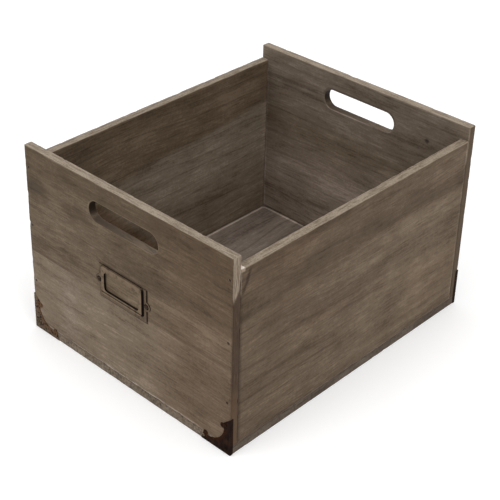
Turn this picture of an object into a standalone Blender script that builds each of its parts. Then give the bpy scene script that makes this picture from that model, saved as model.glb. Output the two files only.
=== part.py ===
"""Open wooden storage box with a card holder on its front and a plate at each lower corner.

Metres, +Z up. The box stands on the XY plane with its front towards -Y, and the middle of its
whole outline, from the card holder to the back pins, is over the origin. Two tall end walls
with handle slots cover the ends of two lower side walls, and a bottom board lies under them.
"""

import math
from collections import namedtuple

import bmesh
import bpy
from mathutils import Vector

for leftover in list(bpy.data.objects):
    bpy.data.objects.remove(leftover, do_unlink=True)

# Boards: outside sizes, the end walls' height above the ground, the drop from there to the top
# of the side walls, and thicknesses
box_width = 0.300
box_length = 0.370
end_wall_height = 0.230
side_wall_drop = 0.016
end_wall_thickness = 0.010
side_wall_thickness = 0.010
bottom_thickness = 0.010
board_edge_radius = 0.0008
board_edge_steps = 2

# Clearance between touching pieces, and how far a cut runs past the wood
joint_gap = 0.0003
cut_overrun = 0.0020

# Handle slots: round-ended, with their middle below the top of the end wall
handle_width = 0.101
handle_height = 0.024
handle_drop = 0.0340
handle_edge_radius = 0.0010
handle_edge_steps = 3
handle_end_steps = 10

# Card holder: a stamped sheet with a raised frame, flat flanges and an ear at each side
holder_offset = -0.0018
holder_window_middle = 0.1209
holder_window_width = 0.0516
holder_window_height = 0.0228
holder_window_radius = 0.0040
holder_side_band = 0.0042
holder_lower_band = 0.0047
holder_upper_band = 0.0060
holder_band_radius = 0.0035
holder_slope = 0.0018
holder_flange = 0.0034
holder_flange_radius = 0.0015
holder_rise = 0.0028
holder_sheet = 0.0008
holder_ear_radius = 0.0053
holder_ear_steps = 8
holder_corner_steps = 4

# Corner plates: sheet with a hollowed inner edge, a small lobe near each tip and a narrow return.
# They reach further up the box's edge than along its foot.
plate_reach_up = 0.0450
plate_reach_along = 0.0392
plate_thickness = 0.0005
plate_return = 0.0032
plate_foot_gap = 0.0005
plate_lobe_near = 0.0100
plate_lobe_far = 0.0333
plate_lobe_radius = 0.0030
plate_lobe_start = math.radians(100)
plate_lobe_sweep = math.radians(220)
plate_lobe_steps = 8
plate_neck_near = 0.0080
plate_neck_far = 0.0285
plate_hollow_radius = 0.0252
plate_hollow_steps = 8
plate_pin_near = 0.0055
plate_pin_far = 0.0360
plate_pin_corner = 0.0060

# Rows of brads: the lowest height and the drop below the side wall's top on the end walls, and
# distances from the corners under the bottom
end_brad_lowest = 0.0635
end_brad_drop = 0.009
end_brad_count = 3
side_row_margin = 0.055
side_row_count = 3
end_row_margin = 0.080
end_row_count = 2

# Fasteners: sizes of each kind, driven along +Z from the face that it holds down
FastenerForm = namedtuple(
    "FastenerForm", "head_radius head_height shank_radius length tip sunk domed")
brad = FastenerForm(
    head_radius=0.0013, head_height=0.0008, shank_radius=0.0008,
    length=0.0250, tip=0.0020, sunk=0.0003, domed=False)
pin = FastenerForm(
    head_radius=0.0017, head_height=0.0010, shank_radius=0.0007,
    length=0.0085, tip=0.0015, sunk=-joint_gap, domed=True)
screw = FastenerForm(
    head_radius=0.0024, head_height=0.0015, shank_radius=0.0010,
    length=0.0085, tip=0.0025, sunk=-joint_gap, domed=True)
fastener_sides = 12
dome_steps = 3
screw_slot_width = 0.0007
screw_slot_depth = 0.0006
screw_slot_turns = {"left": math.radians(70), "right": math.radians(25)}

# Finishes: colour, roughness and metallic value
weathered_wood = ((0.165, 0.125, 0.090), 0.75, 0.0)
dark_wood = ((0.090, 0.068, 0.050), 0.80, 0.0)
aged_bronze = ((0.150, 0.110, 0.080), 0.45, 1.0)
blackened_iron = ((0.035, 0.028, 0.026), 0.50, 1.0)
dull_steel = ((0.160, 0.140, 0.120), 0.45, 1.0)
round_shading_angle = math.radians(40)

# Places worked out from the sizes
holder_stand = joint_gap + holder_rise
plate_stand = joint_gap + plate_thickness
pin_stand = plate_stand + pin.head_height - pin.sunk
front_face = (holder_stand - pin_stand - box_length) / 2
back_face = front_face + box_length
wall_foot = bottom_thickness + joint_gap
side_wall_height = end_wall_height - side_wall_drop

into_front = Vector((0, 1, 0))
into_back = Vector((0, -1, 0))
upwards = Vector((0, 0, 1))


def add_object(name, mesh, finish=None, smooth=False):
    """Puts a mesh in the scene, with its own material where a finish is given."""
    thing = bpy.data.objects.new(name, mesh)
    bpy.context.scene.collection.objects.link(thing)
    if finish:
        colour, roughness, metallic = finish
        material = bpy.data.materials.new(name + "_finish")
        material.use_nodes = True
        shader = material.node_tree.nodes["Principled BSDF"]
        shader.inputs["Base Color"].default_value = (*colour, 1)
        shader.inputs["Roughness"].default_value = roughness
        shader.inputs["Metallic"].default_value = metallic
        thing.data.materials.append(material)
    if smooth:
        mesh.shade_smooth()
        mesh.set_sharp_from_angle(angle=round_shading_angle)
    return thing


def mesh_from(shape, name):
    """Turns a finished bmesh into a mesh whose faces point outwards."""
    bmesh.ops.recalc_face_normals(shape, faces=shape.faces)
    mesh = bpy.data.meshes.new(name)
    shape.to_mesh(mesh)
    shape.free()
    return mesh


def as_cutter(thing):
    """Marks an object as a shape that only cuts others."""
    thing.hide_render = True
    thing.display_type = "WIRE"
    return thing


def cut_with(body, cutters):
    """Takes an object, or every object in a collection, out of a body."""
    cut = body.modifiers.new("cut_" + cutters.name, "BOOLEAN")
    cut.operation = "DIFFERENCE"
    cut.solver = "EXACT"
    if isinstance(cutters, bpy.types.Collection):
        cut.operand_type = "COLLECTION"
        cut.collection = cutters
    else:
        cut.object = cutters


def block_shape(low, high):
    """A plain block between two corners."""
    low = Vector(low)
    high = Vector(high)
    shape = bmesh.new()
    bmesh.ops.create_cube(shape, size=1)
    bmesh.ops.scale(shape, vec=high - low, verts=shape.verts)
    bmesh.ops.translate(shape, vec=(low + high) / 2, verts=shape.verts)
    return shape


def block(name, low, high):
    """The mesh of a plain block between two corners."""
    return mesh_from(block_shape(low, high), name)


def board(name, low, high, finish):
    """A board between two corners, its edges eased, its origin at its own middle."""
    middle = (Vector(low) + Vector(high)) / 2
    shape = block_shape(Vector(low) - middle, Vector(high) - middle)
    bmesh.ops.bevel(
        shape, geom=shape.edges, offset=board_edge_radius,
        segments=board_edge_steps, affect="EDGES", profile=0.5)
    thing = add_object(name, mesh_from(shape, name), finish)
    thing.location = middle
    return thing


def loft(name, rings, close=False):
    """Skins rings of equal count; the last ring meets the first, or both ends are capped."""
    shape = bmesh.new()
    loops = [[shape.verts.new(point) for point in ring] for ring in rings]
    count = len(loops[0])
    pairs = list(zip(loops, loops[1:]))
    if close:
        pairs.append((loops[-1], loops[0]))
    for first, second in pairs:
        for here in range(count):
            there = (here + 1) % count
            shape.faces.new((first[here], first[there], second[there], second[here]))
    if not close:
        shape.faces.new(loops[0])
        shape.faces.new(loops[-1])
    return mesh_from(shape, name)


def turned(name, profile):
    """Turns a profile of (radius, distance) about +Z; an end on the axis closes to a point."""
    shape = bmesh.new()
    rings = []
    for radius, along in profile:
        if radius == 0:
            rings.append([shape.verts.new((0, 0, along))])
            continue
        turns = [math.tau * step / fastener_sides for step in range(fastener_sides)]
        rings.append([
            shape.verts.new((radius * math.cos(turn), radius * math.sin(turn), along))
            for turn in turns])
    for first, second in zip(rings, rings[1:]):
        for here in range(fastener_sides):
            there = (here + 1) % fastener_sides
            corners = [first[here % len(first)], first[there % len(first)],
                       second[there % len(second)], second[here % len(second)]]
            shape.faces.new(list(dict.fromkeys(corners)))
    for ring in (rings[0], rings[-1]):
        if len(ring) > 1:
            shape.faces.new(ring)
    return mesh_from(shape, name)


def fastener_mesh(name, form):
    """A brad, pin or screw: its head, shank and pointed tip."""
    seat = form.sunk + form.head_height
    if form.domed:
        seat = form.sunk
        arc = [math.pi / 2 * step / dome_steps for step in range(dome_steps + 1)]
        head = [(form.head_radius * math.sin(turn), seat - form.head_height * math.cos(turn))
                for turn in arc]
    else:
        head = [(form.head_radius, form.sunk), (form.head_radius, seat)]
    shank = [(form.shank_radius, seat), (form.shank_radius, form.length - form.tip),
             (0, form.length)]
    return turned(name, head + shank)


def hole_mesh(name, form):
    """The hole that a fastener sits in, with a seat for a head that is sunk in the wood."""
    bore = form.shank_radius + joint_gap
    end = form.length + joint_gap
    if form.domed:
        profile = [(bore, -cut_overrun), (bore, end)]
    else:
        mouth = form.head_radius + joint_gap
        seat = form.sunk + form.head_height + joint_gap
        profile = [(mouth, -cut_overrun), (mouth, seat), (bore, seat), (bore, end)]
    return turned(name, profile)


# One mesh for each kind of fastener and one for its hole, shared by all the copies
fastener_meshes = {
    "brad": fastener_mesh("brad", brad),
    "pin": fastener_mesh("pin", pin),
    "screw": fastener_mesh("screw", screw)}
hole_meshes = {
    "brad": hole_mesh("brad_hole", brad),
    "pin": hole_mesh("pin_hole", pin),
    "screw": hole_mesh("screw_hole", screw)}
holes = bpy.data.collections.new("fastener_holes")
bpy.context.scene.collection.children.link(holes)


def drive(kind, name, place, direction, finish):
    """Drives a fastener from a face at a place, and makes the hole it needs."""
    turn = direction.to_track_quat("Z", "Y").to_euler()
    thing = add_object(name, fastener_meshes[kind].copy(), finish, smooth=True)
    thing.location = place
    thing.rotation_euler = turn
    hole = as_cutter(bpy.data.objects.new(name + "_hole", hole_meshes[kind]))
    holes.objects.link(hole)
    hole.location = place
    hole.rotation_euler = turn
    return thing


def spread(first, last, count):
    """Even places from the first to the last, both included."""
    return [first + (last - first) * step / (count - 1) for step in range(count)]


def side_places(half):
    """The left and right sides of the box, at half a width from its middle."""
    return (("left", -half), ("right", half))


# Handle slots
def handle_ring(depth, growth):
    """The round-ended outline of a slot, grown sideways, at a depth through the wall."""
    radius = handle_height / 2 + growth
    straight = (handle_width - handle_height) / 2
    ring = []
    for side, start in ((1, -math.pi / 2), (-1, math.pi / 2)):
        for step in range(handle_end_steps + 1):
            turn = start + math.pi * step / handle_end_steps
            ring.append((side * straight + radius * math.cos(turn), depth,
                         radius * math.sin(turn)))
    return ring


def handle_cutter(name, middle):
    """A slot through an end wall, flared at both faces so that its edges come out rounded."""
    quarter = math.pi / 2 / handle_edge_steps
    flare = [(-handle_edge_radius * (1 - math.cos(quarter)),
              handle_edge_radius * (1 + math.sin(quarter)))]
    for step in range(1, handle_edge_steps + 1):
        turn = quarter * step
        flare.append((handle_edge_radius * (1 - math.cos(turn)),
                      handle_edge_radius * (1 - math.sin(turn))))
    half = end_wall_thickness / 2
    rings = [handle_ring(depth - half, growth) for depth, growth in flare]
    rings += [handle_ring(half - depth, growth) for depth, growth in reversed(flare)]
    cutter = as_cutter(add_object(name, loft(name, rings)))
    cutter.location = (0, middle, end_wall_height - handle_drop)
    return cutter


# Boards
half_width = box_width / 2
front_panel = board(
    "front_panel", (-half_width, front_face, wall_foot),
    (half_width, front_face + end_wall_thickness, end_wall_height), weathered_wood)
back_panel = board(
    "back_panel", (-half_width, back_face - end_wall_thickness, wall_foot),
    (half_width, back_face, end_wall_height), weathered_wood)
cut_with(front_panel, handle_cutter("front_handle", front_face + end_wall_thickness / 2))
cut_with(back_panel, handle_cutter("back_handle", back_face - end_wall_thickness / 2))

end_joint = end_wall_thickness + joint_gap
side_panels = []
for side, edge in side_places(half_width):
    inner = edge - math.copysign(side_wall_thickness, edge)
    side_panels.append(board(
        side + "_side_panel", (min(edge, inner), front_face + end_joint, wall_foot),
        (max(edge, inner), back_face - end_joint, side_wall_height), weathered_wood))
bottom_board = board(
    "bottom_board", (-half_width, front_face, 0), (half_width, back_face, bottom_thickness),
    dark_wood)

# Brads through the end walls into the side walls
side_wall_middle = half_width - side_wall_thickness / 2
for wall, face, direction in (("front", front_face, into_front), ("back", back_face, into_back)):
    for side, across in side_places(side_wall_middle):
        heights = spread(end_brad_lowest, side_wall_height - end_brad_drop, end_brad_count)
        for number, height in enumerate(heights, start=1):
            drive("brad", f"{wall}_brad_{side}_{number}", (across, face, height), direction,
                  dull_steel)

# Brads up through the bottom board into all four walls
side_row = spread(front_face + side_row_margin, back_face - side_row_margin, side_row_count)
for side, across in side_places(side_wall_middle):
    for number, along in enumerate(side_row, start=1):
        drive("brad", f"bottom_brad_{side}_{number}", (across, along, 0), upwards, dull_steel)
end_row = spread(end_row_margin - half_width, half_width - end_row_margin, end_row_count)
end_wall_half = end_wall_thickness / 2
for wall, along in (("front", front_face + end_wall_half), ("back", back_face - end_wall_half)):
    for number, across in enumerate(end_row, start=1):
        drive("brad", f"bottom_brad_{wall}_{number}", (across, along, 0), upwards, dull_steel)


# Card holder
holder_half = holder_window_width / 2 + holder_side_band
holder_below = holder_window_height / 2 + holder_lower_band
holder_above = holder_window_height / 2 + holder_upper_band
holder_skirt = holder_slope + holder_flange
holder_ear_middle = (holder_above - holder_below - holder_skirt) / 2
holder_back = front_face - joint_gap


def holder_ring(height, half_span, below, above, radius, ears=False):
    """A rounded outline round the window's middle, at a height off the holder's back.

    Both sides carry the same row of points, which bulge out where ears are wanted.
    """
    ring = []

    def add_corner(across, up, start):
        for step in range(holder_corner_steps + 1):
            turn = start + math.pi / 2 * step / holder_corner_steps
            ring.append((across + radius * math.cos(turn), -height, up + radius * math.sin(turn)))

    def add_side(sign):
        for step in range(holder_ear_steps + 1):
            turn = -math.pi / 2 + math.pi * step / holder_ear_steps
            bulge = holder_ear_radius * math.cos(turn) if ears else 0
            ring.append((sign * (half_span + bulge), -height,
                         holder_ear_middle + sign * holder_ear_radius * math.sin(turn)))

    add_corner(half_span - radius, radius - below, -math.pi / 2)
    add_side(1)
    add_corner(half_span - radius, above - radius, 0)
    add_corner(radius - half_span, above - radius, math.pi / 2)
    add_side(-1)
    add_corner(radius - half_span, radius - below, math.pi)
    return ring


def holder_band_ring(height, growth, radius, ears=False):
    """An outline that lies a distance outside the edge of the raised frame."""
    return holder_ring(height, holder_half + growth, holder_below + growth,
                       holder_above + growth, radius, ears)


def holder_window_ring(height):
    """The outline of the window, at a height off the holder's back."""
    return holder_ring(height, holder_window_width / 2, holder_window_height / 2,
                       holder_window_height / 2, holder_window_radius)


holder_inside = holder_rise - holder_sheet
label_holder = add_object("label_holder", loft("label_holder", [
    holder_band_ring(0, holder_skirt, holder_flange_radius, ears=True),
    holder_band_ring(holder_sheet, holder_skirt, holder_flange_radius, ears=True),
    holder_band_ring(holder_sheet, holder_slope, holder_band_radius + holder_slope),
    holder_band_ring(holder_rise, 0, holder_band_radius),
    holder_window_ring(holder_rise),
    holder_window_ring(holder_inside),
    holder_band_ring(holder_inside, -holder_sheet, holder_band_radius - holder_sheet),
    holder_band_ring(0, holder_slope - holder_sheet, holder_band_radius),
    ], close=True), aged_bronze)
label_holder.location = (holder_offset, holder_back, holder_window_middle)

# The holder is open at its top, where a card slips in behind the frame
mouth_half = holder_half - holder_sheet - joint_gap
mouth_top = holder_above + holder_skirt + cut_overrun
mouth_depth = holder_inside - joint_gap
flange_half = holder_half + holder_skirt + cut_overrun
mouth_cuts = {
    "holder_mouth": ((-mouth_half, -mouth_depth, holder_window_height / 2 + joint_gap),
                     (mouth_half, cut_overrun, mouth_top)),
    "holder_top_flange": ((-flange_half, -mouth_depth, holder_above + joint_gap),
                          (flange_half, cut_overrun, mouth_top))}
for name, (low, high) in mouth_cuts.items():
    cutter = as_cutter(add_object(name, block(name, low, high)))
    cutter.location = label_holder.location
    cut_with(label_holder, cutter)

# Its screws, one through each ear, with the slots of their heads turned at random
slot_half = screw.head_radius + cut_overrun
head_top = screw.sunk - screw.head_height
slot_mesh = block(
    "screw_slot", (-screw_slot_width / 2, -slot_half, head_top - cut_overrun),
    (screw_slot_width / 2, slot_half, head_top + screw_slot_depth))
for side, across in side_places(holder_half + holder_skirt):
    screw_place = (holder_offset + across, holder_back - holder_sheet,
                   holder_window_middle + holder_ear_middle)
    holder_screw = drive(
        "screw", "label_holder_screw_" + side, screw_place, into_front, dull_steel)
    slot = as_cutter(add_object("screw_slot_" + side, slot_mesh))
    slot.location = screw_place
    slot.rotation_euler = holder_screw.rotation_euler
    slot.rotation_euler.rotate_axis("Z", screw_slot_turns[side])
    cut_with(holder_screw, slot)


# Corner plates
def plate_edge():
    """The ornamental edge between the two tips: a lobe, the hollow, and the other lobe.

    Each point is its distance from the box's side and its height, and the edge is the same
    on both sides of the corner's diagonal.
    """
    lobe = []
    for step in range(plate_lobe_steps + 1):
        turn = plate_lobe_start - plate_lobe_sweep * step / plate_lobe_steps
        lobe.append((plate_lobe_near + plate_lobe_radius * math.cos(turn),
                     plate_lobe_far + plate_lobe_radius * math.sin(turn)))
    half_chord = (plate_neck_far - plate_neck_near) / 2
    hollow_middle = ((plate_neck_near + plate_neck_far) / 2
                     + math.sqrt(plate_hollow_radius ** 2 / 2 - half_chord ** 2))
    start = math.atan2(plate_neck_far - hollow_middle, plate_neck_near - hollow_middle)
    end = math.atan2(plate_neck_near - hollow_middle, plate_neck_far - hollow_middle)
    hollow = [(hollow_middle + plate_hollow_radius * math.cos(turn),
               hollow_middle + plate_hollow_radius * math.sin(turn))
              for turn in spread(start, end, plate_hollow_steps + 1)]
    lower_lobe = [(far, near) for near, far in reversed(lobe)]
    return lobe + hollow + lower_lobe


def corner_plate(name, sign, outer, inwards):
    """A flat plate on an end wall, with a narrow return round the box's vertical edge.

    Its outer face lies at a distance along Y, and its thickness grows inwards from there.
    """
    shape = bmesh.new()

    def vertex(near, height):
        return shape.verts.new((sign * (half_width - near), outer, height))

    fold_foot = vertex(-joint_gap, plate_foot_gap)
    fold_top = vertex(-joint_gap, plate_reach_up)
    leaf = [fold_foot, fold_top, vertex(0, plate_reach_up)]
    leaf += [vertex(near, height) for near, height in plate_edge()]
    leaf.append(vertex(plate_reach_along, plate_foot_gap))
    faces = [shape.faces.new(leaf),
             shape.faces.new([fold_top, fold_foot, vertex(-plate_stand, plate_foot_gap),
                              vertex(-plate_stand, plate_reach_up)])]
    grown = bmesh.ops.extrude_face_region(shape, geom=faces)["geom"]
    back_verts = [part for part in grown if isinstance(part, bmesh.types.BMVert)]
    bmesh.ops.translate(shape, verts=back_verts, vec=inwards * plate_thickness)
    strip = min((part for part in grown if isinstance(part, bmesh.types.BMFace)),
                key=lambda face: len(face.verts))
    grown = bmesh.ops.extrude_face_region(shape, geom=[strip])["geom"]
    strip_verts = [part for part in grown if isinstance(part, bmesh.types.BMVert)]
    bmesh.ops.translate(shape, verts=strip_verts, vec=inwards * (joint_gap + plate_return))
    bmesh.ops.delete(shape, geom=[strip], context="FACES_ONLY")
    return add_object(name, mesh_from(shape, name), blackened_iron)


corner_plates = []
for wall, outer, inwards in (("front", front_face - plate_stand, into_front),
                             ("back", back_face + plate_stand, into_back)):
    for side, edge in side_places(half_width):
        sign = math.copysign(1, edge)
        corner_plates.append(corner_plate(f"{wall}_{side}_corner_plate", sign, outer, inwards))
        for place, near, height in (("upper", plate_pin_near, plate_pin_far),
                                    ("lower", plate_pin_far, plate_pin_near),
                                    ("corner", plate_pin_corner, plate_pin_corner)):
            drive("pin", f"{wall}_{side}_corner_pin_{place}",
                  (sign * (half_width - near), outer, height), inwards, blackened_iron)

# Every piece that a fastener passes through gets its hole
for piece in (front_panel, back_panel, *side_panels, bottom_board, label_holder, *corner_plates):
    cut_with(piece, holes)
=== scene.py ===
import math

import bmesh
import bpy
from mathutils import Matrix, Vector


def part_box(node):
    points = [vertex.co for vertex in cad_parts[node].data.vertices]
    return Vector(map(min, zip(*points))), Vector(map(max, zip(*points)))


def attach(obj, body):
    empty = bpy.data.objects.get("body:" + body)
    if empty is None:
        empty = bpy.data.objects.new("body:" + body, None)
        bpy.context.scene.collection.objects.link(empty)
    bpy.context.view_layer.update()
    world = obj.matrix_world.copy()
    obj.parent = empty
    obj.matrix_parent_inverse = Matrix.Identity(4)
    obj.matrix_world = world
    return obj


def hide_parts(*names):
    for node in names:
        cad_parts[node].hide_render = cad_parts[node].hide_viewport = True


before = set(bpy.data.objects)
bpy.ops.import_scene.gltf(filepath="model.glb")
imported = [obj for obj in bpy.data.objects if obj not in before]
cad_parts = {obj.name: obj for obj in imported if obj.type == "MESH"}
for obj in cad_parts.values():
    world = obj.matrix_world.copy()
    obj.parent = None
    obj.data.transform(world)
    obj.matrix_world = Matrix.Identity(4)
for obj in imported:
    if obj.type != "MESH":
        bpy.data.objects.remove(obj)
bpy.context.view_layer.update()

scene = bpy.context.scene
scene.view_settings.view_transform = "Standard"

# The camera looks down over the near right corner, so that the front, the right side and the
# inside all show. A small lens shift makes the upright edges lean much as in the photograph.
camera = bpy.data.objects.new("camera", bpy.data.cameras.new("camera"))
scene.collection.objects.link(camera)
scene.camera = camera
camera.location = (0.80948, -0.88282, 0.86379)
camera_turn = (Matrix.Rotation(0.79853, 3, "Z") @ Matrix.Rotation(1.03680, 3, "X")
               @ Matrix.Rotation(-0.02401, 3, "Y"))
camera.rotation_euler = camera_turn.to_euler()
camera.data.lens = 93.324
camera.data.shift_x = 0.0600
camera.data.shift_y = -0.1100
camera.data.clip_start = 0.05
camera.data.clip_end = 50


# The bottom board is solid wood, sawn to size, stained grey-brown and rubbed until its edges were
# round and a little chipped. It lies under all four walls and is nailed up into them from below.
class Value:
    """A socket that takes part in sums: each sign adds a Math node to the socket's tree."""

    def __init__(self, tree, socket):
        self.tree = tree
        self.socket = socket

    def __add__(self, other):
        return self.tree.maths("ADD", self, other)

    def __sub__(self, other):
        return self.tree.maths("SUBTRACT", self, other)

    def __rsub__(self, other):
        return self.tree.maths("SUBTRACT", other, self)

    def __mul__(self, other):
        return self.tree.maths("MULTIPLY", self, other)

    def __truediv__(self, other):
        return self.tree.maths("DIVIDE", self, other)

    def __pow__(self, other):
        return self.tree.maths("POWER", self, other)

    def __abs__(self):
        return self.tree.maths("ABSOLUTE", self)

    __radd__ = __add__
    __rmul__ = __mul__


class Tree:
    """A node tree under construction, for a finish or for a shape."""

    def __init__(self, nodes):
        self.nodes = nodes

    def add(self, kind, settings=None, sockets=None, output=0):
        """Adds a node, sets its settings and sockets, and gives back one of its outputs."""
        node = self.nodes.nodes.new(kind)
        for name, setting in (settings or {}).items():
            setattr(node, name, setting)
        for name, value in (sockets or {}).items():
            self.feed(node.inputs[name], value)
        return Value(self, node.outputs[output])

    def feed(self, socket, value):
        """Links a socket to a value, or writes a plain number or colour in it."""
        if isinstance(value, Value):
            self.nodes.links.new(value.socket, socket)
        else:
            socket.default_value = value

    def maths(self, operation, *terms):
        return self.add("ShaderNodeMath", {"operation": operation}, dict(enumerate(terms)))

    def vector(self, operation, *terms, output=0):
        return self.add("ShaderNodeVectorMath", {"operation": operation},
                        dict(enumerate(terms)), output)

    def least(self, first, second):
        return self.maths("MINIMUM", first, second)

    def most(self, first, second):
        return self.maths("MAXIMUM", first, second)

    def middle_one(self, first, second, third):
        return self.most(self.least(first, second),
                         self.least(self.most(first, second), third))

    def clamped(self, value):
        return self.most(self.least(value, 1), 0)

    def rise(self, value, start, end):
        """A soft step: 0 at the start, 1 at the end, and level outside them."""
        return self.add("ShaderNodeMapRange", {"interpolation_type": "SMOOTHSTEP"},
                        {"Value": value, "From Min": start, "From Max": end})

    def fall(self, value, start, end):
        """A soft step down: 1 at the start, 0 at the end, and level outside them."""
        return 1 - self.rise(value, start, end)

    def within(self, value, low, high, blur):
        """A soft-edged band: 1 between two values, and 0 outside them."""
        return (self.rise(value, low - blur, low + blur)
                * self.fall(value, high - blur, high + blur))

    def joined(self, x, y, z):
        return self.add("ShaderNodeCombineXYZ", None, {0: x, 1: y, 2: z})

    def split(self, vector):
        first = self.add("ShaderNodeSeparateXYZ", None, {0: vector})
        return [Value(self, socket) for socket in first.socket.node.outputs]

    def noise(self, vector, scale=1.0, detail=2.0, roughness=0.5):
        return self.add("ShaderNodeTexNoise", None,
                        {"Vector": vector, "Scale": scale, "Detail": detail,
                         "Roughness": roughness})

    def mix(self, first, second, share):
        """Blends two colours by a share."""
        return self.add("ShaderNodeMix", {"data_type": "RGBA"},
                        {0: share, 6: first, 7: second}, 2)


class Finish(Tree):
    """A material whose looks are built on one Principled shader."""

    def __init__(self, name):
        self.material = bpy.data.materials.new(name)
        self.material.use_nodes = True
        super().__init__(self.material.node_tree)
        self.shader = self.nodes.nodes["Principled BSDF"]
        self.place = self.add("ShaderNodeTexCoord", output="Object")

    def set(self, **values):
        for name, value in values.items():
            self.feed(self.shader.inputs[name.replace("_", " ")], value)

    def relief(self, height, depth):
        """Raises the surface where the height is 1, by a depth in metres."""
        self.set(Normal=self.add("ShaderNodeBump", None,
                                 {"Height": height, "Distance": depth, "Strength": 1.0},
                                 "Normal"))


def tone(red, green, blue):
    """A colour from its screen values, 0 to 255, as the shader wants it."""
    return tuple(((part / 255 + 0.055) / 1.055) ** 2.4 for part in (red, green, blue)) + (1.0,)


class WoodFinish(Finish):
    """Looks that run along a board's grain.

    along, across and through are the directions of its length, its width and its thickness.
    """

    directions = {"X": (0, 2, 1), "Y": (1, 2, 0), "flat": (1, 0, 2)}

    def __init__(self, name, node, grain, seed, glue_line=None):
        super().__init__(name)
        self.seed = seed
        place = self.split(self.place)
        normal = self.split(self.add("ShaderNodeTexCoord", output="Normal"))
        low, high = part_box(node)
        length, width, thickness = self.directions[grain]
        self.along, self.across, self.through = place[length], place[width], place[thickness]
        self.end_grain = self.facing(abs(normal[length]))
        self.tilt = normal[2]
        self.upward = self.facing(normal[2]) if grain != "flat" else 0
        self.high_across = self.facing(normal[width])
        self.low_face = self.facing(normal[thickness] * -1)
        self.high_face = self.facing(normal[thickness])
        depths = [(high[part] - low[part]) / 2 - abs(place[part] - (high[part] + low[part]) / 2)
                  for part in range(3)]
        self.edge = self.middle_one(*depths)
        self.cut_face = (self.rise(depths[thickness], 0.0003, 0.0010)
                         * self.rise(self.edge, 0.0056, 0.0066))
        self.board_shift = 0
        if glue_line:
            glue_half, shift = 0.0003, 4.7
            self.board_shift = shift * self.rise(self.across, glue_line - glue_half,
                                                 glue_line + glue_half)
        wander_width = 0.016
        self.line = self.across + (self.stretched(6, 13, 2) - 0.5) * wander_width

    def facing(self, part):
        """1 where a part of the normal is near 1, so that the face looks that way."""
        return self.rise(part, 0.6, 0.9)

    def stretched(self, along, across, detail=2.0, roughness=0.5, line=None):
        """Noise in long streaks, so many to the metre each way."""
        line = self.across if line is None else line
        return self.noise(self.joined(self.along * along + (self.board_shift + self.seed),
                                      line * across, self.through * across),
                          1.0, detail, roughness)

    def growth_lines(self, spacing, width):
        """Thin lines that wander along the grain, unevenly spaced and of uneven strength."""
        wander = self.stretched(2.0, 17, 2) - 0.5
        row = (self.line + wander * (spacing * 3.0)) / spacing
        line = self.fall(abs(self.maths("FRACT", row) - 0.5), 0, width / spacing)
        return line * self.rise(self.stretched(4, 60, 2), 0.26, 0.48)

    def smudge(self, along, across, reach, height, ragged=0.9):
        """A soft-edged stain round a place, broken up along the grain."""
        off = self.vector("LENGTH", self.joined((self.along - along) / reach,
                                                (self.across - across) / height, 0),
                          output="Value")
        off = off + (self.stretched(30, 110, 3) - 0.5) * ragged
        return self.fall(off, 0.4, 1.4)

    def tinted(self, colour, tint, usual, share):
        """Colours the wood by a stain that turns its usual tone into the tint, grain and all."""
        stain = tuple(part / whole for part, whole in zip(tint[:3], usual[:3]))
        return self.mix(colour, self.vector("MULTIPLY", colour, stain), share)

    def zone(self, start, end, low, high, blur_along=0.01, blur_across=0.002):
        """A soft-edged part of the board's face, between two places along and two across."""
        return (self.within(self.along, start, end, blur_along)
                * self.within(self.across, low, high, blur_across))

    def top_edge(self):
        """1 on the top edges of the walls, and 0 on the slots' sills below them."""
        return self.upward * self.rise(self.across, 0.2085, 0.2125)

    def foot_line(self):
        """1 on a wall's lower edge, where it meets the bottom board."""
        return self.fall(self.across, 0.0106, 0.0118)


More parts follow.
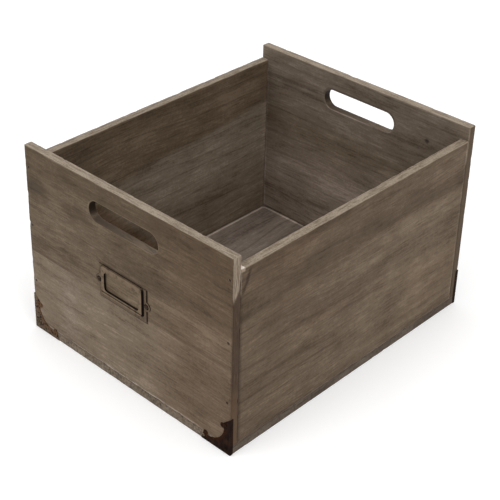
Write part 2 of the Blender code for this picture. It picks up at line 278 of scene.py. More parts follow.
def stained_wood(name, node, grain, seed, tones, marks, covers=None, glue_line=None):
    """The finish of one board: its grain, its worn edges, and what it alone has.

    Its marks stain the grain, and its covers hide it.
    """
    dark, middle, light, edge_tone, end_tone = tones
    rubbed_dark = tone(104, 91, 77)
    edge_shade = tone(56, 41, 30)
    wood = WoodFinish(name, node, grain, seed, glue_line)
    figure = wood.stretched(2.2, 34, 3, 0.55, wood.line)
    streak = wood.stretched(9, 210, 4, 0.68, wood.line)
    fibre = wood.stretched(60, 640, 2, 0.6, wood.line)
    grime = wood.stretched(26, 48, 4, 0.62)
    speck = wood.noise(wood.place, 330.0, 4.0, 0.75)
    cloud = wood.stretched(11, 27, 4, 0.6)
    body = wood.clamped(0.52 + (figure - 0.5) * 1.1 + (streak - 0.5) * 0.8
                        + (grime - 0.5) * 0.9 + (fibre - 0.5) * 0.8 + (speck - 0.5) * 0.8
                        + (cloud - 0.5) * 0.7)
    colour = wood.mix(dark, middle, wood.rise(body, 0.05, 0.55))
    colour = wood.mix(colour, light, wood.rise(body, 0.50, 0.95))
    pores = wood.rise(wood.stretched(45, 700, 2, 0.5, wood.line), 0.60, 0.72)
    colour = wood.mix(colour, dark, pores * 0.6)
    smear = wood.rise(wood.stretched(28, 230, 3, 0.6), 0.60, 0.74)
    colour = wood.mix(colour, dark, smear * 0.45)
    ends = wood.mix(end_tone, dark, wood.rise(wood.noise(wood.place, 420.0, 3.0), 0.40, 0.70))
    colour = wood.mix(colour, ends, wood.end_grain)
    rubbed_streaks = wood.rise(wood.stretched(45, 420, 4, 0.65), 0.42, 0.62)
    rubbed_specks = wood.rise(wood.noise(wood.place, 600.0, 2.0, 0.6), 0.44, 0.60)
    rubbed = wood.mix(edge_tone, rubbed_dark,
                      wood.clamped(rubbed_streaks * 0.6 + rubbed_specks * 0.35))
    colour = wood.mix(colour, rubbed, wood.top_edge())
    for tint, mask in marks(wood):
        colour = wood.tinted(colour, tint, middle, wood.clamped(mask))
    for tint, mask in covers(wood) if covers else ():
        colour = wood.mix(colour, tint, wood.clamped(mask))
    edge = wood.edge + (wood.stretched(40, 120, 3) - 0.5) * 0.0030
    near_edge = wood.fall(edge, 0.0003, 0.0013)
    wide_edge = wood.fall(edge, 0.0008, 0.0024)
    high = wood.rise(wood.across, 0.182, 0.190) if grain != "flat" else 0
    above_foot = wood.rise(wood.across, 0.013, 0.018) if grain != "flat" else 0
    colour = wood.mix(colour, edge_tone, near_edge * (0.05 + 0.45 * high))
    colour = wood.mix(colour, edge_shade, wide_edge * (1 - high) * (0.05 + 0.28 * above_foot))
    wood.set(Base_Color=colour, Specular_IOR_Level=0.15,
             Roughness=0.72 + (streak - 0.5) * 0.25 + pores * 0.12)
    wood.relief(wood.clamped(0.6 + (fibre - 0.5) * 0.6 + (streak - 0.5) * 0.8 - pores * 0.5),
                0.00012)
    return wood.material


edge_radius = 0.0009
edge_zone = 0.012
chip_depth = 0.0007
chip_length = 0.009
plane_marks = 0.00008
row_gap = 0.003
fewest_rows = 6
sharp_angle = math.radians(48)
seam = 0.00028
grain_along_y = Vector((300, 30, 300))


def new_group(name, sockets):
    """A Geometry Nodes group with named inputs; gives back its tree and its inputs' values."""
    group = bpy.data.node_groups.new(name, "GeometryNodeTree")
    for label, kind in sockets:
        group.interface.new_socket(label, in_out="INPUT", socket_type="NodeSocket" + kind)
    group.interface.new_socket("Piece", in_out="OUTPUT", socket_type="NodeSocketGeometry")
    tree = Tree(group)
    given = {socket.name: Value(tree, socket)
             for socket in group.nodes.new("NodeGroupInput").outputs if socket.name}
    return tree, given


def close_group(tree, geometry, finish):
    """Ends a Geometry Nodes group in whole, dressed geometry."""
    whole = tree.add("GeometryNodeRealizeInstances", None, {"Geometry": geometry})
    dressed = tree.add("GeometryNodeSetMaterial", None, {"Geometry": whole, "Material": finish})
    tree.nodes.links.new(dressed.socket, tree.nodes.nodes.new("NodeGroupOutput").inputs[0])
    return tree.nodes


def board_group():
    """The rule for every board: a block with rounded, worn edges and a faintly uneven face."""
    tree, given = new_group("worn_board", (
        ("Size", "Vector"), ("Middle", "Vector"), ("Rows", "Vector"), ("Edge Zone", "Vector"),
        ("Grain", "Vector"), ("Radius", "Float"), ("Chip Depth", "Float"),
        ("Chip Length", "Float"), ("Plane Marks", "Float"), ("Finish", "Material")))
    across, up, deep = tree.split(given["Rows"])
    block = tree.add("GeometryNodeMeshCube", None,
                     {"Size": given["Size"], "Vertices X": across, "Vertices Y": up,
                      "Vertices Z": deep})
    point = tree.add("GeometryNodeInputPosition")
    half = tree.vector("MULTIPLY", given["Size"], (0.5, 0.5, 0.5))
    drawn = []
    depths = []
    for along, limit, zone in zip(tree.split(point), tree.split(half),
                                  tree.split(given["Edge Zone"])):
        depth = tree.most(limit - abs(along), 0)
        depth = depth * tree.least(depth / zone, 1) ** 1.5
        depths.append(depth)
        drawn.append(tree.maths("SIGN", along) * (limit - depth))
    crowded = tree.joined(*drawn)
    inner = tree.vector("SUBTRACT", half, tree.joined(*[given["Radius"]] * 3))
    core = tree.vector("MINIMUM", tree.vector(
        "MAXIMUM", crowded, tree.vector("MULTIPLY", inner, (-1, -1, -1))), inner)
    outward = tree.vector("NORMALIZE", tree.vector("SUBTRACT", crowded, core))
    spot = tree.vector("ADD", crowded, given["Middle"])
    chips = tree.noise(tree.vector("DIVIDE", spot, tree.joined(*[given["Chip Length"]] * 3)))
    chips = (tree.rise(chips, 0.50, 0.78)
             * tree.fall(tree.middle_one(*depths), 0.0005, 0.0030))
    marks = tree.noise(tree.vector("MULTIPLY", spot, given["Grain"]), 1.0, 1.0)
    sunk = given["Radius"] - given["Chip Depth"] * chips - given["Plane Marks"] * marks
    away = tree.vector("MULTIPLY", outward, tree.joined(sunk, sunk, sunk))
    placed = tree.vector("ADD", tree.vector("ADD", core, away), given["Middle"])
    shaped = tree.add("GeometryNodeSetPosition", None, {"Geometry": block, "Position": placed})
    return close_group(tree, shaped, given["Finish"])


worn_board = board_group()


def new_piece(name, mesh=None):
    """An object at the origin, in the scene."""
    thing = bpy.data.objects.new(name, mesh or bpy.data.meshes.new(name))
    scene.collection.objects.link(thing)
    return thing


def shape_by(thing, group, values):
    """Shapes a piece by a Geometry Nodes group, each input set by its socket's identifier."""
    shape = thing.modifiers.new("shape", "NODES")
    shape.node_group = group
    for item in group.interface.items_tree:
        if item.item_type == "SOCKET" and item.in_out == "INPUT" and item.name in values:
            shape[item.identifier] = values[item.name]


def cut_by(thing, cutter):
    cut = thing.modifiers.new("cut", "BOOLEAN")
    cut.operation = "DIFFERENCE"
    cut.solver = "EXACT"
    cut.object = cutter


def settle(thing):
    """Turns a piece's evaluated shape into its plain mesh, and drops its modifiers."""
    bpy.context.view_layer.update()
    graph = bpy.context.evaluated_depsgraph_get()
    mesh = bpy.data.meshes.new_from_object(thing.evaluated_get(graph))
    mesh.name = thing.name
    thing.modifiers.clear()
    thing.data = mesh
    return mesh


def smooth_over(mesh):
    """Shades a mesh as round, apart from its sharp edges."""
    mesh.shade_smooth()
    mesh.set_sharp_from_angle(angle=sharp_angle)


def finished_mesh(shape, name):
    """Turns a bmesh into a mesh whose faces point outwards."""
    bmesh.ops.recalc_face_normals(shape, faces=shape.faces)
    mesh = bpy.data.meshes.new(name)
    shape.to_mesh(mesh)
    shape.free()
    return mesh


def skinned(name, rings):
    """A closed body over rings of points, capped at both ends."""
    shape = bmesh.new()
    loops = [[shape.verts.new(point) for point in ring] for ring in rings]
    for first, second in zip(loops, loops[1:]):
        for here in range(len(first)):
            there = (here + 1) % len(first)
            shape.faces.new((first[here], first[there], second[there], second[here]))
    shape.faces.new(loops[0])
    shape.faces.new(loops[-1])
    return finished_mesh(shape, name)


def turned(name, profile, sides=16):
    """A body turned about +Z, from its radius at each distance."""
    turns = [math.tau * step / sides for step in range(sides)]
    return skinned(name, [[(radius * math.cos(turn), radius * math.sin(turn), along)
                           for turn in turns] for radius, along in profile])


def driving_group():
    """The rule for every row of fasteners: one at each place, along its own direction."""
    tree, given = new_group("driven_fasteners", (
        ("Places", "Geometry"), ("Fastener", "Object"), ("Seed", "Int"),
        ("Finish", "Material")))
    direction = tree.add("GeometryNodeInputNamedAttribute", {"data_type": "FLOAT_VECTOR"},
                         {"Name": "direction"})
    spin = tree.add("FunctionNodeRandomValue", {"data_type": "FLOAT"},
                    {"Seed": given["Seed"]}, 1)
    turn = tree.add("FunctionNodeRotateRotation", {"rotation_space": "LOCAL"}, {
        "Rotation": tree.add("FunctionNodeAlignRotationToVector", {"axis": "Z"},
                             {"Vector": direction}),
        "Rotate By": tree.add("FunctionNodeEulerToRotation", None,
                              {0: tree.joined(0, 0, spin * math.tau)})})
    fastener = tree.add("GeometryNodeObjectInfo", None, {"Object": given["Fastener"]},
                        "Geometry")
    driven = tree.add("GeometryNodeInstanceOnPoints", None,
                      {"Points": given["Places"], "Instance": fastener, "Rotation": turn})
    return close_group(tree, driven, given["Finish"])


driven_fasteners = driving_group()


def fasteners_called(word):
    """The names of the CAD fasteners with a word in them."""
    return sorted(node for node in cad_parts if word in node)


def drive(name, kinds, seed, finish, sink=0):
    """Puts a fastener where each CAD one of its kind is, head and point the same way.

    kinds has the profile of each kind, by a word in its nodes' names. sink closes the gap under
    the heads.
    """
    pieces = []
    for word, profile in kinds.items():
        places = []
        directions = []
        for node in fasteners_called(word):
            low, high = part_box(node)
            size = high - low
            middle = (low + high) / 2
            axis = max(range(3), key=lambda part: size[part])
            sign = -1 if axis == 1 and middle.y > 0 else 1
            start = middle.copy()
            start[axis] = (low[axis] if sign > 0 else high[axis]) + sign * sink
            places.append(start)
            directions += [sign if part == axis else 0 for part in range(3)]
        mesh = bpy.data.meshes.new(name)
        mesh.from_pydata(places, [], [])
        mesh.attributes.new("direction", "FLOAT_VECTOR", "POINT").data.foreach_set(
            "vector", directions)
        thing = new_piece(name, mesh)
        pattern = new_piece(name + "_pattern", turned(name + "_pattern", profile))
        shape_by(thing, driven_fasteners, {"Fastener": pattern, "Seed": seed, "Finish": finish})
        smooth_over(settle(thing))
        pieces.append(thing)
        bpy.data.objects.remove(pattern)
    return pieces


nail_hole = [(0.0016, -0.0023), (0.0016, 0.0011), (0.0011, 0.0011), (0.0011, 0.0250)]
pin_hole = [(0.0010, -0.0007), (0.0010, 0.0101)]
screw_hole = [(0.0013, -0.0005), (0.0013, 0.0103)]
drills = drive("drilled_holes",
               {"_brad_": nail_hole, "_pin_": pin_hole, "_screw_": screw_hole},
               seed=1, finish=None)


def make_board(name, node, grain, finish, cutters=(), radius=edge_radius, below=0,
               beyond=0):
    """Makes a board in the place of a CAD node, and cuts its slot and its holes.

    below and beyond close its gaps to the board under it and to those at its ends.
    """
    low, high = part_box(node)
    low = low - Vector((0, beyond, below))
    high = high + Vector((0, beyond, 0))
    size = high - low
    deepest_chip = radius * 0.8
    thing = new_piece(name)
    shape_by(thing, worn_board, {
        "Size": size, "Middle": (low + high) / 2,
        "Rows": Vector([max(fewest_rows, round(side / row_gap) + 1) for side in size]),
        "Edge Zone": Vector([min(edge_zone, side / 2) for side in size]),
        "Grain": grain, "Radius": radius, "Chip Depth": min(chip_depth, deepest_chip),
        "Chip Length": chip_length, "Plane Marks": plane_marks, "Finish": finish})
    for cutter in (*cutters, *drills):
        cut_by(thing, cutter)
    mesh = settle(thing)
    mesh.materials.clear()
    mesh.materials.append(finish)
    smooth_over(mesh)
    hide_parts(node)
    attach(thing, "root")


def floor_marks(wood):
    """The pale rim round the inside of the floor, and the stained and rubbed sides below it."""
    inside_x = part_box("right_side_panel")[0].x
    front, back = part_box("front_panel")[1].y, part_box("back_panel")[0].y
    corner = 0.0075
    middle = (front + back) / 2
    reach_x = abs(wood.across) - (inside_x - corner)
    reach_y = abs(wood.along - middle) - ((back - front) / 2 - corner)
    past_corner = wood.vector("LENGTH", wood.joined(wood.most(reach_x, 0),
                                                    wood.most(reach_y, 0), 0), output="Value")
    outwards = past_corner + wood.least(wood.most(reach_x, reach_y), 0)
    rim = wood.within(outwards, corner - 0.0038, corner - 0.0014, 0.0006)
    wall_foot_shade = wood.rise(outwards, corner - 0.0012, corner - 0.0006)
    top = wood.rise(wood.through, 0.008, 0.009)
    sides = 1 - wood.high_face
    front_side = wood.rise(wood.along * -1, 0.17, 0.18)
    return [
        (tone(70, 58, 46), wood.growth_lines(0.014, 0.0012) * 0.45),
        (tone(178, 163, 150), rim * top * wood.rise(wood.stretched(9, 9), 0.26, 0.46)),
        # painted shade on the floor along the feet of the walls
        (tone(82, 70, 60), wall_foot_shade * top * 0.5),
        (tone(66, 53, 42), sides * wood.rise(wood.stretched(16, 34, 3, 0.6), 0.42, 0.62) * 0.28),
        (tone(72, 58, 46), sides * wood.rise(wood.noise(wood.place, 260.0, 3.0), 0.50, 0.64)
         * 0.35),
        # a painted highlight along the top edge of the bottom board's sides
        (tone(160, 144, 128), sides * wood.rise(wood.through, 0.0088, 0.0097) * 0.6),
        (tone(84, 72, 61), sides * wood.high_across * 0.58),
        (tone(76, 64, 53), sides * wood.within(wood.across, 0.000, 0.105, 0.03) * 0.22
         * front_side),
        (tone(132, 119, 107), sides * front_side * 0.9),
    ]


floor_tones = (tone(92, 81, 72), tone(118, 106, 96), tone(138, 126, 115), tone(134, 121, 107),
               tone(128, 115, 101))
floor_wood = stained_wood("floor_wood", "bottom_board", "flat", seed=3.1, tones=floor_tones,
                          marks=floor_marks)
make_board("floor_board", "bottom_board", grain_along_y, floor_wood, radius=0.0005)


# The side walls are single boards between the end walls. They stand on the bottom board and are
# 16 mm lower than the end walls. Their stain has run darker along the grain, and painted shade
# darkens them towards the front wall.
def right_marks(wood):
    """The right wall's outer face: browner above, with long grain lines and a dirty foot."""
    outer = wood.high_face
    low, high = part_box("right_side_panel")
    front, back = low.y, high.y
    nearer = wood.fall(wood.along, -0.14, 0.06)
    slant = wood.along - (front + 0.0130) + (0.2110 - wood.across) * 0.45
    slant = slant + (wood.noise(wood.place, 90.0, 2.0) - 0.5) * 0.006
    damp = wood.most(wood.fall(wood.along, -0.15, 0.00), wood.rise(wood.along, 0.03, 0.15))
    ragged_foot = wood.across + (wood.stretched(16, 60, 3) - 0.5) * 0.012
    return [
        (tone(82, 66, 50), outer * (wood.rise(wood.across, 0.12, 0.215) * 0.36 + nearer * 0.32)),
        (tone(82, 67, 52), wood.zone(-0.015, 0.30, 0.160, 0.192, 0.05, 0.006) * 0.40 * outer),
        (tone(126, 110, 93), wood.zone(-0.06, 0.30, 0.1490, 0.1525, 0.04, 0.002) * 0.30 * outer),
        (tone(76, 58, 44), wood.growth_lines(0.0170, 0.0022) * (0.12 + 0.28 * nearer) * outer),
        (tone(82, 68, 54), wood.rise(wood.stretched(5, 22, 2), 0.50, 0.66) * 0.35 * outer),
        (tone(160, 144, 127), wood.foot_line() * 0.6 * outer),
        (tone(72, 57, 44), wood.zone(-0.175, -0.02, 0.0575, 0.0600, 0.02, 0.0008) * 0.40 * outer),
        (tone(66, 51, 38), wood.fall(ragged_foot, 0.0150, 0.0255) * (0.08 + damp * 0.28) * outer),
        (tone(102, 87, 70), wood.top_edge()),
        (tone(116, 99, 80), wood.zone(0.06, 0.30, 0.02, 0.10, 0.05, 0.02) * 0.6 * outer),
        (tone(64, 49, 37), wood.fall(abs(slant), 0.0006, 0.0040)
         * wood.within(wood.across, 0.186, 0.2105, 0.004) * 0.75 * outer),
        # a painted highlight on the top edge at the wall's near corner
        (tone(196, 180, 162), wood.zone(front - 0.001, front + 0.005, 0.2105, 0.2160, 0.001, 0.0008)
         * 0.8),
        # painted shade where the wall meets the front wall, weaker towards the top
        (tone(66, 53, 41), wood.fall(wood.along, front + 0.001, front + 0.005) * 0.40
         * (1 - wood.rise(wood.across, 0.10, 0.17) * 0.6)),
        (tone(138, 122, 103), wood.rise(wood.along, back - 0.003, back - 0.001) * 0.6 * outer),
        (tone(90, 73, 57), wood.rise(wood.stretched(7, 26, 3, 0.6), 0.52, 0.68) * 0.45 * outer),
        (tone(78, 66, 54), wood.low_face * 0.35),
    ]


def left_marks(wood):
    """The left wall's inner face: brown above, grey below, pale at the back.

    Painted shade darkens its front end, the part behind the front wall that shows through its slot.
    """
    inner = wood.high_face
    boundary = 0.141 + (wood.along + 0.06) * 0.08 + (wood.stretched(7, 30) - 0.5) * 0.02
    above = wood.rise(wood.across - boundary, -0.006, 0.006)
    sight_over_front = wood.across + (wood.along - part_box("front_panel")[0].y) * 1.05
    return [
        (tone(90, 73, 57), above * 0.50 * inner),
        (tone(128, 115, 99), (1 - above) * inner * (0.25 + wood.rise(wood.across, 0.03, 0.12) * 0.7)
         * (0.15 + wood.rise(wood.along, -0.16, -0.02) * 0.85)),
        # painted shade on the part hidden behind the front wall, which shows through its slot
        (tone(94, 74, 56), wood.fall(sight_over_front, 0.208, 0.226) * inner),
        (tone(66, 54, 43), wood.growth_lines(0.017, 0.0015) * 0.35 * inner),
        (tone(126, 107, 89), wood.rise(wood.along, 0.1640, 0.1730) * 0.5 * inner),
        (tone(101, 87, 71), wood.top_edge()),
    ]


wall_tones = (tone(82, 68, 53), tone(108, 93, 76), tone(130, 114, 96), tone(152, 139, 123),
              tone(90, 75, 60))
for side, seed, marks in (("right", 58.2, right_marks), ("left", 41.9, left_marks)):
    node = side + "_side_panel"
    finish = stained_wood(side + "_wood", node, "Y", seed, wall_tones, marks)
    make_board(side + "_board", node, grain_along_y, finish, below=seam,
               beyond=seam)


# The end walls are taller boards that cover the ends of the side walls, nailed into them. Each
# has a round-ended handle slot, cut with a router and rounded over on both faces.
slot_width = 0.101
slot_height = 0.024
slot_drop = 0.0340
slot_rounding = 0.0010
wall_thickness = 0.010


def slot_ring(depth, growth, steps=18):
    """The slot's outline, grown sideways, at a depth through the wall."""
    radius = slot_height / 2 + growth
    straight = (slot_width - slot_height) / 2
    ring = []
    for side, start in ((1, -math.pi / 2), (-1, math.pi / 2)):
        for step in range(steps + 1):
            turn = start + math.pi * step / steps
            ring.append((side * straight + radius * math.cos(turn), depth,
                         radius * math.sin(turn)))
    return ring


def slot_cutter(node, steps=6):
    """A slot through an end wall, flared at both faces so that its edges come out round."""
    low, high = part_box(node)
    quarter = math.pi / 2 / steps
    flare = [(-slot_rounding * (1 - math.cos(quarter)), slot_rounding * (1 + math.sin(quarter)))]
    flare += [(slot_rounding * (1 - math.cos(quarter * step)),
               slot_rounding * (1 - math.sin(quarter * step))) for step in range(1, steps + 1)]
    half = wall_thickness / 2
    rings = [slot_ring(depth - half, growth) for depth, growth in flare]
    rings += [slot_ring(half - depth, growth) for depth, growth in reversed(flare)]
    mesh = skinned("slot_cutter", rings)
    mesh.transform(Matrix.Translation((0, (low.y + high.y) / 2, high.z - slot_drop)))
    return new_piece("slot_cutter", mesh)


def from_slot(wood):
    """Distance outwards from the handle slot's outline, over the board's face."""
    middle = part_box("front_panel")[1].z - slot_drop
    past_straight = wood.most(abs(wood.along) - (slot_width - slot_height) / 2, 0)
    return wood.vector("LENGTH", wood.joined(past_straight, wood.across - middle, 0),
                       output="Value") - slot_height / 2


def front_marks(wood):
    """The front's outer face: two glued boards, the lower one paler, dark round the card holder."""
    outer = wood.low_face
    lower = wood.fall(wood.across, 0.1019, 0.1025)
    window = wood.zone(-0.0278, 0.0242, 0.1093, 0.1325, 0.0004, 0.0004)
    covered = wood.zone(-0.0325, 0.0285, 0.1040, 0.1385, 0.0005, 0.0005)
    leftward = wood.fall(wood.along, -0.05, 0.13)
    smears = wood.rise(wood.stretched(22, 150, 4, 0.65), 0.54, 0.68)
    return [
        (tone(80, 66, 49), wood.rise(wood.across, 0.110, 0.215) * 0.66 * outer),
        (tone(84, 69, 53), wood.zone(0.0, 0.2, 0.13, 0.24, 0.06, 0.02) * 0.30 * outer),
        (tone(112, 92, 73), wood.zone(0.06, 0.2, 0.0, 0.3, 0.05, 0.02) * 0.5 * outer),
        (tone(70, 56, 42), smears * wood.rise(wood.across, 0.105, 0.125) * 0.45 * outer),
        (tone(134, 119, 102), lower * (0.18 + leftward * 0.45) * outer),
        (tone(84, 69, 54), wood.zone(0.060, 0.2, 0.0, 0.1, 0.04, 0.03) * 0.40 * outer),
        (tone(74, 60, 47), wood.zone(-0.02, 0.2, 0.1035, 0.1068, 0.04, 0.002) * 0.35 * outer),
        (tone(76, 62, 48), wood.zone(-0.16, -0.075, 0.1022, 0.1058, 0.025, 0.0016) * 0.5 * outer),
        (tone(132, 117, 100), wood.zone(0.098, 0.148, 0.1095, 0.1105, 0.006, 0.0008)
         * 0.6 * outer),
        (tone(66, 53, 42), wood.smudge(-0.134, 0.185, 0.020, 0.012, 2.2) * 0.45 * outer),
        (tone(70, 57, 45), wood.smudge(-0.072, 0.1785, 0.022, 0.008, 2.2) * 0.40 * outer),
        (tone(138, 124, 109), wood.zone(-0.100, -0.077, 0.012, 0.100, 0.012, 0.02)
         * 0.25 * outer),
        # pale lines along the front's foot: partly a painted highlight, partly worn stain
        (tone(146, 131, 114), wood.zone(-0.035, 0.108, 0.0108, 0.0128, 0.01, 0.0006)
         * wood.rise(wood.stretched(120, 300, 3, 0.7), 0.40, 0.56) * 0.8 * outer),
        (tone(160, 144, 127), wood.foot_line() * 0.7 * outer),
        (tone(84, 71, 58), wood.smudge(0.030, 0.148, 0.070, 0.012) * 0.35 * outer),
        (tone(150, 135, 113), wood.within(from_slot(wood), 0.0002, 0.0014, 0.0004)
         * wood.rise(wood.across, 0.190, 0.200) * 0.45 * outer),
        # the wood in the card's window is painted lighter, against the shade of the frame
        (tone(124, 107, 86), window * 0.5 * outer),
        # painted shadow on the wood under the holder's bars, seen through its window
        (tone(24, 16, 11), covered * (1 - window) * 0.9 * outer),
        # painted shadow lines on the wood below and to the right of the holder's flange
        (tone(26, 17, 11), wood.zone(-0.0370, 0.0340, 0.0980, 0.0997, 0.001, 0.0003)
         * 0.85 * outer),
        (tone(30, 21, 14), wood.zone(0.0334, 0.0348, 0.0985, 0.1385, 0.0003, 0.001)
         * 0.85 * outer),
        (tone(78, 66, 54), wood.high_face * 0.35),
    ]


def slot_covers(wood):
    """Inside the handle slot: dark ends and top, part painted shade and part scorched end grain,
    and a rubbed sill.
    """
    uneven = (wood.noise(wood.place, 300.0, 3.0) - 0.5) * 0.5
    streaks = wood.rise(wood.stretched(70, 520, 3, 0.65), 0.44, 0.62)
    sill = wood.mix(tone(60, 48, 38), tone(118, 103, 88), wood.rise(wood.along, -0.045, 0.050))
    sill = wood.mix(sill, tone(52, 41, 32), streaks * 0.5)
    return [
        # painted shade with scorched end grain on the slot's ends and its downward-facing top
        (tone(38, 27, 19), wood.cut_face * wood.fall(wood.tilt + uneven, 0.15, 0.95) * 0.95),
        (sill, wood.cut_face * wood.upward * 0.85),
    ]


def front_covers(wood):
    """The front's end face: pale and worn at its top, dark below; and the slot's inside."""
    into = wood.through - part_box("front_panel")[0].y
    high = wood.rise(wood.across - into * 1.5, 0.1765, 0.1830)
    end = wood.end_grain * (1 - wood.cut_face)
    streaks = wood.noise(wood.joined(wood.through * 800, wood.across * 60, 0), 1.0, 3.0, 0.65)
    speck = wood.rise(streaks, 0.40, 0.62)
    dull = wood.mix(tone(92, 70, 50), tone(64, 47, 34), wood.rise(wood.across, 0.04, 0.10))
    dull = wood.mix(dull, tone(104, 84, 68), wood.rise(streaks, 0.54, 0.70) * 0.6)
    dull = wood.mix(dull, tone(46, 33, 25), wood.fall(streaks, 0.32, 0.46) * 0.6)
    return [
        (wood.mix(tone(112, 96, 80), tone(162, 147, 130), speck), high * end * 0.92),
        (dull, (1 - high) * end * (0.75 + (wood.noise(wood.place, 90.0, 3.0) - 0.5) * 1.2)),
        *slot_covers(wood),
    ]


def back_marks(wood):
    """The back's inner face: grain bands beside the slot, greyer wood below, a dark knot."""
    inner = wood.low_face
    return [
        (tone(70, 57, 45), wood.zone(-0.145, -0.055, 0.188, 0.201, 0.012, 0.002)
         * wood.rise(wood.stretched(5, 140), 0.40, 0.60) * 0.6 * inner),
        (tone(142, 127, 113), wood.fall(wood.across, 0.070, 0.160) * inner),
        (tone(118, 105, 91), wood.rise(wood.across, 0.130, 0.180) * inner),
        (tone(66, 54, 43), wood.growth_lines(0.016, 0.0016) * 0.28 * inner),
        (tone(40, 31, 25), wood.smudge(0.097, 0.194, 0.0032, 0.0026, 0.3) * 0.8 * inner),
        # a painted shadow band on the inner face just above the slot
        (tone(62, 50, 40), wood.within(from_slot(wood), 0.0, 0.0030, 0.0010)
         * wood.rise(wood.across, 0.192, 0.204) * 0.5 * inner),
        (tone(158, 140, 126), wood.within(from_slot(wood), 0.0002, 0.0015, 0.0005)
         * wood.fall(wood.across, 0.184, 0.192) * 0.5 * inner),
        (tone(136, 121, 104), wood.rise(abs(wood.along), 0.1372, 0.1400)
         * wood.fall(wood.across, 0.212, 0.215) * 0.6 * inner),
    ]


grain_along_x = Vector((30, 300, 300))
for name, node, seed, marks, covers, glue_line in (
        ("front_board", "front_panel", 11.7, front_marks, front_covers, 0.1022),
        ("back_board", "back_panel", 27.3, back_marks, slot_covers, None)):
    cutter = slot_cutter(node)
    finish = stained_wood(name + "_wood", node, "X", seed, wall_tones, marks, covers, glue_line)
    make_board(name, node, grain_along_x, finish, [cutter], below=seam)
    bpy.data.objects.remove(cutter)


# Small steel nails with flat heads hold the boards, sunk just below the wood. They were hammered
# in, so each has its own turn, and the stain has left them dull with a little rust.
def dull_steel(name):
    """Steel gone dark and mottled, with brown rust in places."""
    metal = Finish(name)
    cloud = metal.noise(metal.place, 900.0, 3.0, 0.6)
    rust = metal.rise(metal.noise(metal.place, 420.0, 2.0), 0.48, 0.66)
    colour = metal.mix(tone(34, 26, 20), tone(66, 56, 47), metal.rise(cloud, 0.30, 0.70))
    metal.set(Base_Color=metal.mix(colour, tone(70, 46, 31), rust * 0.6), Specular_IOR_Level=0.15,
              Metallic=0.20 - rust * 0.15, Roughness=0.55 + rust * 0.3)
    metal.relief(cloud, 0.00005)
    return metal.material


nail = [(0.0005, 0.00010), (0.0010, 0), (0.00122, 0.00006), (0.0013, 0.00022),
        (0.0013, 0.00066), (0.0011, 0.00080), (0.0008, 0.00086), (0.0008, 0.0227),
        (0.00005, 0.0247)]
nails = drive("nails", {"_brad_": nail}, seed=7, finish=dull_steel("nail_steel"))[0]
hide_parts(*fasteners_called("_brad_"))
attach(nails, "root")


# The card holder is one stamped sheet of bronze-coloured metal: a raised frame with the card's
# slot open at its top, a flat flange round it, and an ear with a screw at each side.
def eased_copy(name, node, finish, width, seat=(0, 0, 0)):
    """A copy of a CAD node's shape, doubles merged and its sharp edges eased.

    seat is the small move that closes the gap to what it lies on.
    """
    shape = bmesh.new()
    shape.from_mesh(bpy.data.objects[node].data)
    bmesh.ops.translate(shape, vec=Vector(seat), verts=shape.verts)
    bmesh.ops.remove_doubles(shape, verts=shape.verts, dist=1e-6)
    bmesh.ops.dissolve_limit(shape, angle_limit=math.radians(0.5), verts=shape.verts,
                             edges=shape.edges)
    thing = new_piece(name, finished_mesh(shape, name))
    thing.data.materials.append(finish)
    thing.data.shade_smooth()
    ease = thing.modifiers.new("ease", "BEVEL")
    ease.width = width
    ease.segments = 2
    ease.limit_method = "ANGLE"
    ease.angle_limit = math.radians(40)
    thing.modifiers.new("flat_faces", "WEIGHTED_NORMAL")
    settle(thing)
    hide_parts(node)
    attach(thing, "root")


def aged_bronze(name):
    """Dull brown bronze, dark round the screws.

    Painted shade darkens the faces turned from the front, the upright sides most,
    and a line along the frame's lower fold.
    """
    metal = Finish(name)
    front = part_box("front_panel")[0].y
    x, y, z = metal.split(metal.place)
    normal = metal.split(metal.add("ShaderNodeTexCoord", output="Normal"))
    flange = metal.rise(y, front - 0.0030, front - 0.0012)
    # a painted shade line along the frame's lower fold
    fold_shade_line = metal.within(z, 0.1067, 0.1080, 0.0003) * (1 - flange)
    screw_rings = 0
    for side in ("left", "right"):
        low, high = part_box("label_holder_screw_" + side)
        away = metal.vector("LENGTH", metal.joined(x - (low.x + high.x) / 2,
                                                   z - (low.z + high.z) / 2, 0), output="Value")
        screw_rings = screw_rings + metal.within(away, 0.0018, 0.0032, 0.0004)
    cloud = metal.noise(metal.place, 170.0, 3.0, 0.6)
    speck = metal.noise(metal.place, 1300.0, 2.0)
    upright = metal.rise(abs(normal[0]), 0.35, 0.75)
    facing = metal.rise(normal[1] * -1, 0.55, 0.95)
    colour = metal.mix(tone(116, 99, 80), tone(98, 83, 67), flange)
    colour = metal.mix(colour, tone(60, 46, 35), metal.rise(cloud, 0.46, 0.70) * 0.55)
    colour = metal.mix(colour, tone(146, 132, 116), metal.rise(speck, 0.60, 0.72) * 0.5)
    # painted shade on the faces that turn away from the front
    colour = metal.mix(colour, tone(48, 35, 26), (1 - facing) * 0.7)
    # painted shade, nearly black, on the upright sides
    colour = metal.mix(colour, tone(13, 6, 3), upright)
    colour = metal.mix(colour, tone(16, 9, 5), metal.clamped(fold_shade_line * 0.9 + screw_rings))
    # grime here sums the painted shade of the upright sides and fold line with the rings round the
    # screws
    grime = metal.clamped(metal.most(upright, fold_shade_line) + screw_rings)
    metal.set(Base_Color=colour, Specular_IOR_Level=0.05,
              Metallic=(0.35 - metal.rise(cloud, 0.46, 0.70) * 0.20) * (1 - grime * 0.95),
              Roughness=0.50 + (cloud - 0.5) * 0.4 + grime * 0.3)
    metal.relief(cloud * 0.6 + speck * 0.4, 0.00008)
    return metal.material


eased_copy("card_holder", "label_holder", aged_bronze("holder_bronze"), width=0.00022,
           seat=(0, seam, 0))
screw_steel = dull_steel("screw_steel")
for side in ("left", "right"):
    eased_copy("holder_screw_" + side, "label_holder_screw_" + side, screw_steel, width=0.00012,
               seat=(0, seam * 2, 0))


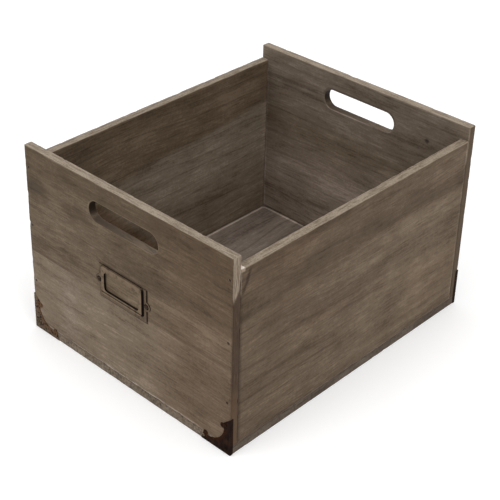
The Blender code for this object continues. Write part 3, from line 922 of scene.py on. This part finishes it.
# Thin blackened iron plates cover the four lower corners, each with a hollowed edge that ends in
# two round lobes, a narrow return round the corner, and three domed pins that hold it.
def blackened_iron(name, painted_head_glints=False):
    """Black scale, scraped in places, with rust that starts at the hollowed edge.

    The left plates have a painted grey sheen, and painted_head_glints paints a glint on some pins'
    heads.
    """
    half_width = 0.150
    hollow_middle = 0.0328
    hollow_radius = 0.0252
    metal = Finish(name)
    x, y, z = metal.split(metal.place)
    near = half_width - abs(x)
    left = metal.fall(x, -0.02, 0.02)
    from_hollow = metal.vector(
        "LENGTH", metal.joined(near - hollow_middle, z - hollow_middle, 0),
        output="Value") - hollow_radius
    cloud = metal.noise(metal.place, 150.0, 4.0, 0.6)
    patch = metal.noise(metal.place, 420.0, 3.0, 0.6)
    speck = metal.noise(metal.place, 1500.0, 2.0)
    rust = metal.clamped(metal.fall(from_hollow, 0.0005, 0.0060) * 0.8
                         + metal.rise(cloud, 0.54, 0.70) * 0.7) * metal.rise(patch, 0.35, 0.60)
    edge_sheen = left * metal.fall(metal.least(near, z), 0.0020, 0.0055)
    scrape = metal.rise(metal.noise(metal.joined(x * 700, y * 700, z * 60), 1.0, 3.0), 0.54, 0.68)
    colour = metal.mix(tone(22, 11, 7), tone(42, 26, 18), metal.rise(cloud, 0.35, 0.65))
    colour = metal.mix(colour, tone(78, 60, 46), scrape * (0.22 + left * 0.30))
    # a painted grey sheen along the outer edges of the left plates
    colour = metal.mix(colour, tone(104, 92, 79), edge_sheen * metal.rise(patch, 0.30, 0.55) * 0.8)
    # painted grey sheen in patches over the left plates
    colour = metal.mix(colour, tone(112, 97, 80), left * metal.rise(patch, 0.38, 0.56) * 0.8)
    colour = metal.mix(colour, tone(110, 66, 34), rust * (0.18 + left * 0.40))
    colour = metal.mix(colour, tone(20, 13, 9), metal.rise(speck, 0.60, 0.70) * 0.6)
    if painted_head_glints:
        # a painted glint on the heads of the right plates' pins away from the corner
        worn = (1 - left) * metal.rise(near, 0.020, 0.028)
        colour = metal.mix(colour, tone(158, 140, 118), worn * metal.rise(speck, 0.44, 0.56) * 0.8)
    metal.set(Base_Color=colour, Specular_IOR_Level=0.03, Metallic=0.03 - rust * 0.02,
              Roughness=0.66 + rust * 0.25 + (cloud - 0.5) * 0.3)
    metal.relief(patch * 0.7 + speck * 0.3, 0.00012)
    return metal.material


plate_iron = blackened_iron("plate_iron")
for wall, inwards in (("front", seam), ("back", -seam)):
    for side, across in (("left", seam), ("right", -seam)):
        eased_copy(f"{wall}_{side}_plate", f"{wall}_{side}_corner_plate", plate_iron,
                   width=0.00010, seat=(across, inwards, 0))

pin_shape = [(0.0003, 0.00002), (0.0008, 0.00013), (0.0012, 0.00036), (0.0015, 0.00066),
             (0.0017, 0.0010), (0.0010, 0.00104), (0.0007, 0.0011), (0.0007, 0.0083),
             (0.00005, 0.0098)]
pins = drive("plate_pins", {"_pin_": pin_shape}, seed=5,
             finish=blackened_iron("pin_iron", painted_head_glints=True), sink=seam * 2)[0]
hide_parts(*fasteners_called("_pin_"))
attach(pins, "root")
for drill in drills:
    bpy.data.objects.remove(drill)


# The box stands on a plain white sheet, under a pale sky, a wide soft panel overhead and a weaker
# one at each side of the camera. The camera sees the sheet a little brighter, so it stays white.
def seen_directly(tree):
    """1 for rays that show a thing itself or its reflection, and 0 for those that light others."""
    camera_ray, glossy_ray, clear_ray = (
        tree.add("ShaderNodeLightPath", output=kind)
        for kind in ("Is Camera Ray", "Is Glossy Ray", "Is Transmission Ray"))
    return tree.most(camera_ray, tree.most(glossy_ray, clear_ray))


sheet_half = 6
extra_glow = 0.26
sheet_mesh = bpy.data.meshes.new("white_sheet")
sheet_mesh.from_pydata(
    [(-sheet_half, -sheet_half, 0), (sheet_half, -sheet_half, 0),
     (sheet_half, sheet_half, 0), (-sheet_half, sheet_half, 0)], [], [(0, 1, 2, 3)])
white_sheet = new_piece("white_sheet", sheet_mesh)
sheet_paint = Finish("white_paper")
sheet_paint.set(Base_Color=(0.86, 0.86, 0.86, 1), Roughness=0.9)
sheet_glow = sheet_paint.add("ShaderNodeEmission", None,
                             {"Strength": seen_directly(sheet_paint) * extra_glow})
sheet_both = sheet_paint.add("ShaderNodeAddShader", None, {
    0: Value(sheet_paint, sheet_paint.shader.outputs[0]), 1: sheet_glow})
sheet_paint.feed(sheet_paint.nodes.nodes["Material Output"].inputs["Surface"], sheet_both)
sheet_mesh.materials.append(sheet_paint.material)

sky = bpy.data.worlds.new("sky")
scene.world = sky
sky.use_nodes = True
sky_tree = Tree(sky.node_tree)
sky_light = sky_tree.nodes.nodes["Background"]
sky_light.inputs["Color"].default_value = (1, 1, 1, 1)
sky_level = 0.50
sky_tree.feed(sky_light.inputs["Strength"],
              sky_level + seen_directly(sky_tree) * (1 - sky_level))


def soft_panel(name, place, side, power):
    """A wide, soft lamp that faces the middle of the box."""
    target = Vector((0, 0, 0.1))
    lamp = bpy.data.lights.new(name, "AREA")
    lamp.shape = "SQUARE"
    lamp.size = side
    lamp.energy = power
    panel = bpy.data.objects.new(name, lamp)
    scene.collection.objects.link(panel)
    panel.location = place
    panel.rotation_euler = (target - Vector(place)).to_track_quat("-Z", "Y").to_euler()


soft_panel("overhead_panel", (0.1, 0.1, 2.2), side=2.0, power=20)
soft_panel("left_panel", (-0.7, -2.0, 2.0), side=1.4, power=19)
soft_panel("right_panel", (2.0, -0.5, 2.0), side=1.4, power=19)
